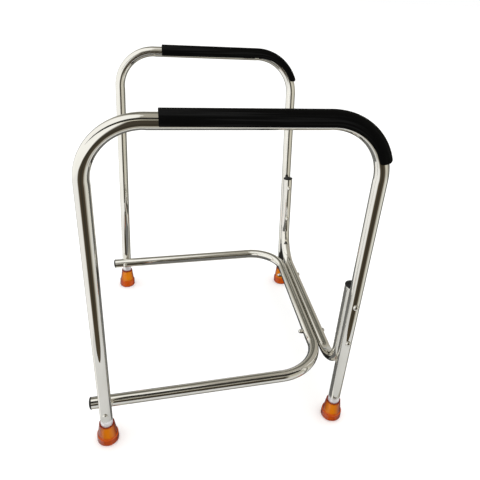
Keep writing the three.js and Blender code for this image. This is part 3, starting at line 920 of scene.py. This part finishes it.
# Soft panels of the studio, seen only in reflections: headings from and to with their edge softness,
# heights from and to with theirs, all in degrees, and the light's colour. Heading 0 is towards -Y and 90
# towards +X. Later panels stand in front of earlier ones, and STUDIO_BASE fills the gaps between them.
STUDIO_BASE = (0.43, 0.405, 0.345)
STUDIO_PANELS = {
    "floor_below": ((-180, 180, 0), (-95, -62, 6), (0.28, 0.275, 0.255)),
    "rear_backdrop": ((150, 224, 12), (-28, 12, 8), (0.52, 0.515, 0.48)),
    "rear_shade": ((140, 206, 10), (27, 62, 8), (0.15, 0.145, 0.12)),
    "rear_floor_shade": ((152, 212, 6), (-67, -31, 4), (0.030, 0.029, 0.026)),
    "right_window": ((24, 76, 10), (-21, 9, 6), (0.66, 0.63, 0.53)),
    "right_floor": ((54, 96, 8), (-47, -21, 5), (0.76, 0.75, 0.68)),
    "right_gap": ((97, 134, 8), (-62, -6, 6), (0.12, 0.12, 0.11)),
    "left_softbox": ((-142, -12, 14), (-22, 86, 8), (1.06, 1.05, 1.00)),
    "left_floor": ((-136, -44, 20), (-58, -18, 6), (0.97, 0.96, 0.93)),
    "rear_left_gap": ((182, 213, 6), (-64, 6, 8), (0.15, 0.16, 0.165)),
    "front_floor": ((-58, 54, 8), (-58, -46, 3), (0.66, 0.65, 0.59)),
    "front_shade": ((-40, 38, 16), (-57, -19, 4), (0.072, 0.055, 0.034)),
    "front_body": ((-14, 22, 10), (-20, 24, 4), (0.060, 0.050, 0.036)),
    "front_glint": ((-26, 60, 8), (25, 30, 1.5), (0.80, 0.76, 0.62)),
    "front_beam": ((-26, 60, 8), (31, 38, 1.5), (0.045, 0.042, 0.035)),
    "front_shade_core": ((-14, 12, 10), (-46, -20, 3), (0.046, 0.040, 0.028)),
}


def in_span(nodes, value, low, high, softness):
    """1 where value is between low and high, fading to 0 over the softness."""
    away = nodes.math("ABSOLUTE", nodes.math("SUBTRACT", value, math.radians((low + high) / 2)))
    inside = math.radians((high - low - softness) / 2)
    outside = math.radians((high - low + softness) / 2)
    return nodes.spread(away, inside, outside, 1, 0)


def studio_reflections(nodes):
    """The colour that a reflected ray meets in each direction."""
    direction = nodes.add("ShaderNodeSeparateXYZ")
    nodes.link(nodes.add("ShaderNodeTexCoord").outputs["Generated"], direction.inputs[0])
    x, y, z = direction.outputs
    height = nodes.math("ARCSINE", z)
    colour = STUDIO_BASE + (1,)
    for headings, heights, light in STUDIO_PANELS.values():
        middle = math.radians((headings[0] + headings[1]) / 2)
        across = nodes.math("SUBTRACT", nodes.math("ARCTAN2", x, nodes.math("MULTIPLY", y, -1.0)), middle)
        across = nodes.math("ADD", nodes.math("WRAP", across, math.pi, -math.pi), middle)
        in_width = in_span(nodes, across, *headings)
        in_height = in_span(nodes, height, *heights)
        covered = nodes.math("MULTIPLY", in_width, in_height)
        colour = nodes.mix(covered, colour, light + (1,))
    return colour


def make_studio_world():
    """White to the eye, even light for matte surfaces, and the ring of panels for reflections."""
    white = (1, 1, 1, 1)
    matte_light = (1.17, 1.17, 1.16, 1)
    world = bpy.data.worlds.new("studio")
    bpy.context.scene.world = world
    world.use_nodes = True
    world.node_tree.nodes.clear()
    nodes = Nodes(world.node_tree)
    ray = nodes.add("ShaderNodeLightPath")
    colour = nodes.mix(ray.outputs["Is Diffuse Ray"], studio_reflections(nodes), matte_light)
    colour = nodes.mix(ray.outputs["Is Camera Ray"], colour, white)
    background = nodes.add("ShaderNodeBackground")
    nodes.link(colour, background.inputs["Color"])
    output = nodes.add("ShaderNodeOutputWorld")
    nodes.link(background.outputs[0], output.inputs["Surface"])


# Cards of the studio, seen only in reflections: colour, x from and to, and the (y, z) of both long edges.
# dark_canopy slants up and away on the right, for dark streaks along the tubes. The near-black strip
# under the crossbars is a painted shade, standing in for the shade beneath them, and is mirrored as the
# dark line between them. floor_bounce lies low outside the right hoop, and ends the dark bands of its legs
# above the feet. floor_shade lies on the floor, for greyer undersides.
STUDIO_CARDS = {
    "dark_canopy": ((0.020, 0.017, 0.012), (-1.3, 1.3), (-0.51, 0.95), (-2.9, 2.35)),
    # Painted shade: a near-black card under the crossbars, in place of the shade beneath them.
    "painted_shade_strip": ((0.01, 0.01, 0.009), (0.170, 0.275), (-0.20, 0.070), (0.30, 0.070)),
    "floor_bounce": ((0.60, 0.60, 0.59), (-0.5, 0.5), (-0.30, 0.062), (-0.48, 0.046)),
    "floor_shade": ((0.14, 0.14, 0.135), (-0.2, 0.21), (-0.30, 0.001), (0.25, 0.001)),
}


def make_card(name, colour, width, near_edge, far_edge):
    """A matte card that only reflected rays meet."""
    material, _, shader = new_material(name)
    shader.inputs["Base Color"].default_value = colour + (1,)
    shader.inputs["Roughness"].default_value = 1.0
    low, high = width
    corners = [(low, *near_edge), (high, *near_edge), (high, *far_edge), (low, *far_edge)]
    card = stage_sheet(name, material, corners)
    card.visible_camera = False
    card.visible_diffuse = False
    card.visible_shadow = False
    card.visible_transmission = False


def make_overhead_light():
    """A large soft light above, for the floor and the matte pieces."""
    lamp = bpy.data.lights.new("overhead_softbox", "AREA")
    lamp.shape = "RECTANGLE"
    lamp.size = 3.0
    lamp.size_y = 3.0
    lamp.energy = 12.0
    light = bpy.data.objects.new("overhead_softbox", lamp)
    light.location = (-0.3, -0.2, 2.6)
    light.visible_glossy = False
    light.visible_camera = False
    bpy.context.scene.collection.objects.link(light)


def make_camera():
    """A little higher than the grips, out to the right of the frame and a little behind its middle."""
    data = bpy.data.cameras.new("camera")
    data.sensor_width = 36.0
    data.lens = 35.05
    camera = bpy.data.objects.new("camera", data)
    place = Matrix.Translation((MIDDLE_X - 0.1035, -0.9867, 0.8720))
    heading, pitch, roll = math.radians(9.402), math.radians(-29.134), math.radians(3.203)
    turn = Matrix.Rotation(-heading, 4, "Z") @ Matrix.Rotation(math.pi / 2 + pitch, 4, "X")
    camera.matrix_world = place @ turn @ Matrix.Rotation(roll, 4, "Z")
    bpy.context.scene.collection.objects.link(camera)
    bpy.context.scene.camera = camera


make_floor()
for name, card in STUDIO_CARDS.items():
    make_card(name, *card)
make_studio_world()
make_overhead_light()
make_camera()
bpy.context.scene.view_settings.view_transform = "Standard"
